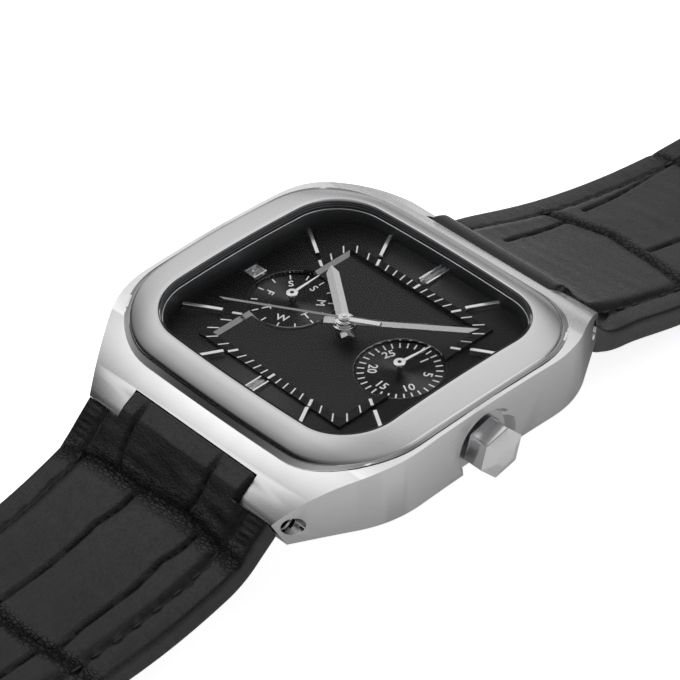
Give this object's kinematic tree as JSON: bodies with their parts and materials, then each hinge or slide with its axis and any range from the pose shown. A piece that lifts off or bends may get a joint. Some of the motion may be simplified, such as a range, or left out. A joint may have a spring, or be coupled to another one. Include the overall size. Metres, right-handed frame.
{
  "type": "wristwatch",
  "caption": "Square steel multifunction wristwatch with an arched bezel, a sunken black dial, a faceted crown and a black reptile grain leather strap with a pin buckle.",
  "frame": {"origin": "centre of the case back's outer face", "axes": "+X toward the crown at three o'clock, +Y toward twelve o'clock, +Z out of the dial"},
  "size_m": [0.041, 0.244, 0.0203],
  "materials": {
    "satin_steel": "satin brushed with polished edges",
    "polished_steel": "mirror polished",
    "plain_steel": "turned, plain",
    "sapphire_glass": "clear, polished",
    "clear_stone": "clear, facet cut",
    "black_dial": "fine satin black",
    "black_track": "black with printed white marks",
    "black_rehaut": "smooth dark grey to black",
    "black_leather": "embossed reptile grain, tone on tone stitching",
    "dark_lining": "smooth matt lining",
    "black_rubber": "plain",
    "movement_brass": "plated, plain",
    "cell_steel": "plain",
    "holder_plastic": "moulded, plain",
    "circuit_green": "plain",
    "coil_copper": "wound wire"
  },
  "bodies": {
    "case": {"mid_case": "satin_steel", "bezel": "satin_steel", "crystal": "sapphire_glass", "crystal_gasket": "black_rubber", "rehaut_ring": "black_rehaut", "dial_plate": "black_dial", "minute_track_frame": "black_track", "hour_markers": "polished_steel", "marker_stones": "clear_stone", "movement_holder": "holder_plastic", "movement_plate": "movement_brass", "train_bridge": "movement_brass", "battery": "cell_steel", "battery_clamp": "plain_steel", "circuit_board": "circuit_green", "motor_coil": "coil_copper", "caseback": "satin_steel", "caseback_gasket": "black_rubber", "caseback_screws": "polished_steel", "crown_tube": "plain_steel", "lug_bar_twelve": "plain_steel", "lug_bar_six": "plain_steel", "lug_bar_screws": "polished_steel"},
    "setting_lever": {"setting_lever": "plain_steel"},
    "crown": {"crown": "polished_steel", "crown_gasket": "black_rubber", "winding_stem": "plain_steel"},
    "minute_hand": {"minute_hand": "polished_steel", "cannon_pinion": "plain_steel"},
    "hour_hand": {"hour_hand": "polished_steel", "hour_wheel": "movement_brass"},
    "day_hand": {"day_hand": "polished_steel", "day_arbor": "plain_steel"},
    "date_hand": {"date_hand": "polished_steel", "date_arbor": "plain_steel"},
    "second_hand": {"second_hand": "polished_steel", "seconds_arbor": "plain_steel"},
    "strap_twelve": {"strap_buckle_half": "black_leather", "strap_buckle_lining": "dark_lining", "fixed_keeper": "black_leather", "buckle_bar": "polished_steel"},
    "strap_six": {"strap_hole_half": "black_leather", "strap_hole_lining": "dark_lining"},
    "buckle": {"buckle_frame": "polished_steel"},
    "tang": {"buckle_tang": "polished_steel"},
    "free_keeper": {"free_keeper": "black_leather"}
  },
  "joints": [
    {"name": "crown_pull", "type": "slide", "parent": "case", "child": "setting_lever", "axis": [1, 0, 0], "range_m": [0, 0.0012]},
    {"name": "crown_turn", "type": "hinge", "parent": "setting_lever", "child": "crown", "pos_m": [0.02, 0, 0.00371], "axis": [1, 0, 0], "continuous": true},
    {"name": "minute_turn", "type": "hinge", "parent": "case", "child": "minute_hand", "pos_m": [0, 0, 0.0063], "axis": [0, 0, -1], "continuous": true},
    {"name": "hour_turn", "type": "hinge", "parent": "case", "child": "hour_hand", "pos_m": [0, 0, 0.0063], "axis": [0, 0, -1], "continuous": true},
    {"name": "day_turn", "type": "hinge", "parent": "case", "child": "day_hand", "pos_m": [-0.0076, 0, 0.0063], "axis": [0, 0, -1], "continuous": true},
    {"name": "date_turn", "type": "hinge", "parent": "case", "child": "date_hand", "pos_m": [0.0076, 0, 0.0063], "axis": [0, 0, -1], "continuous": true},
    {"name": "second_turn", "type": "hinge", "parent": "case", "child": "second_hand", "pos_m": [0, 0, 0.0063], "axis": [0, 0, -1], "continuous": true},
    {"name": "strap_twelve_hinge", "type": "hinge", "parent": "case", "child": "strap_twelve", "pos_m": [0, 0.01972, 0.00293], "axis": [-1, 0, 0], "range_deg": [-50, 35]},
    {"name": "strap_six_hinge", "type": "hinge", "parent": "case", "child": "strap_six", "pos_m": [0, -0.01972, 0.00293], "axis": [1, 0, 0], "range_deg": [-35, 50]},
    {"name": "buckle_hinge", "type": "hinge", "parent": "strap_twelve", "child": "buckle", "pos_m": [0, 0.095, -0.0087], "axis": [1, 0, 0], "range_deg": [-90, 55]},
    {"name": "tang_hinge", "type": "hinge", "parent": "buckle", "child": "tang", "pos_m": [0, 0.095, -0.0087], "axis": [1, 0, 0], "range_deg": [0, 60]},
    {"name": "keeper_slide", "type": "slide", "parent": "strap_twelve", "child": "free_keeper", "axis": [0, 1, 0], "range_m": [-0.005, 0.003]}
  ],
  "couplings": [
    {"joint": "hour_turn", "follows": "minute_turn", "ratio": 0.083333},
    {"joint": "day_turn", "follows": "minute_turn", "ratio": 0.0059524},
    {"joint": "date_turn", "follows": "minute_turn", "ratio": 0.0013441}
  ]
}
